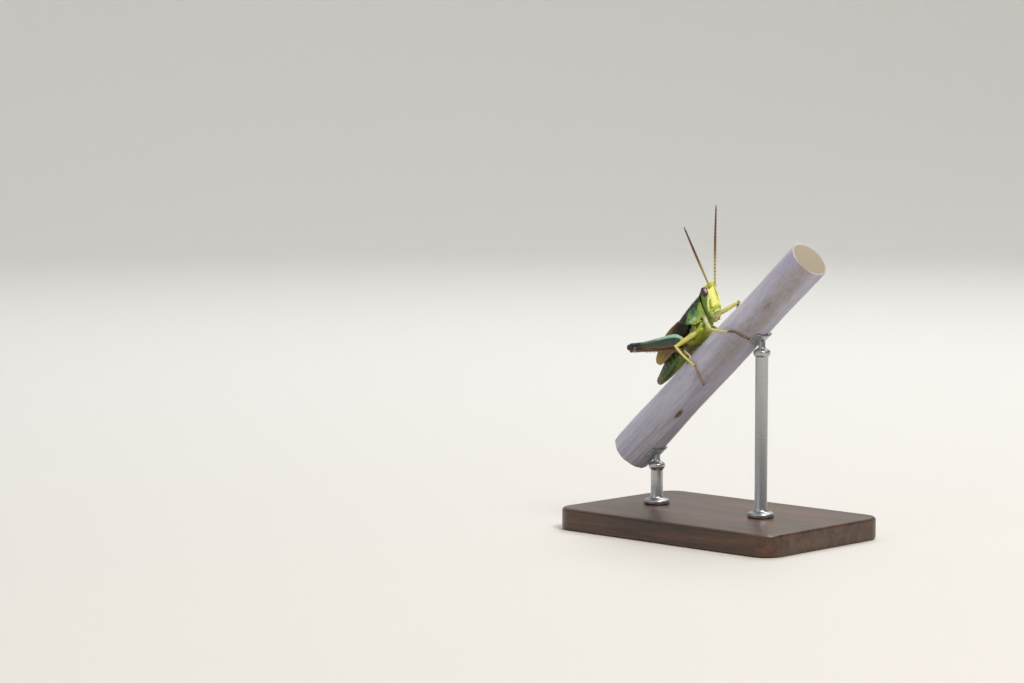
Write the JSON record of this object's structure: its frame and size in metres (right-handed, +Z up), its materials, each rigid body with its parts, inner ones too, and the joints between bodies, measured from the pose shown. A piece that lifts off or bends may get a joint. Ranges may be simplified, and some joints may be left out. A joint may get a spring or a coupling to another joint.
{
  "type": "grasshopper model on a stem",
  "caption": "Life-size museum model of a green short-horned grasshopper clinging to a cut length of dry stem, held over a flat base by two upright rods.",
  "frame": {"origin": "middle of the stand base's underside, on the surface the model stands on", "axes": "+Z up; +X the way the insect heads along the rising stem, seen from above; +Y to the insect's left"},
  "size_m": [0.04, 0.026, 0.047],
  "materials": {
    "head_cuticle": "satin",
    "mouth_cuticle": "satin",
    "eye": "glossy",
    "antenna": "satin",
    "pronotum_cuticle": "satin",
    "thorax_cuticle": "satin",
    "abdomen_cuticle": "satin",
    "wing": "satin",
    "leg": "satin",
    "thigh": "satin",
    "shin": "satin",
    "foot": "satin",
    "stem": "matte",
    "stand_wood": "satin",
    "stand_metal": "brushed"
  },
  "bodies": {
    "root": {"abdomen_front": "abdomen_cuticle", "abdomen_rear": "abdomen_cuticle", "antenna_left": "antenna", "antenna_right": "antenna", "coxa_fore_left": "thorax_cuticle", "coxa_fore_right": "thorax_cuticle", "coxa_hind_left": "thorax_cuticle", "coxa_hind_right": "thorax_cuticle", "coxa_middle_left": "thorax_cuticle", "coxa_middle_right": "thorax_cuticle", "eye_left": "eye", "eye_right": "eye", "femur_fore_left": "leg", "femur_fore_right": "leg", "femur_hind_left": "thigh", "femur_hind_right": "thigh", "femur_middle_left": "leg", "femur_middle_right": "leg", "head": "head_cuticle", "mouthparts": "mouth_cuticle", "perch": "stem", "pronotum": "pronotum_cuticle", "prosternum": "thorax_cuticle", "pterothorax": "thorax_cuticle", "stand_base": "stand_wood", "stand_rod_high": "stand_metal", "stand_rod_low": "stand_metal", "tarsus_fore_left": "foot", "tarsus_fore_right": "foot", "tarsus_hind_left": "foot", "tarsus_hind_right": "foot", "tarsus_middle_left": "foot", "tarsus_middle_right": "foot", "tegmen_left": "wing", "tegmen_right": "wing", "tibia_fore_left": "leg", "tibia_fore_right": "leg", "tibia_hind_left": "shin", "tibia_hind_right": "shin", "tibia_middle_left": "leg", "tibia_middle_right": "leg"}
  },
  "joints": []
}
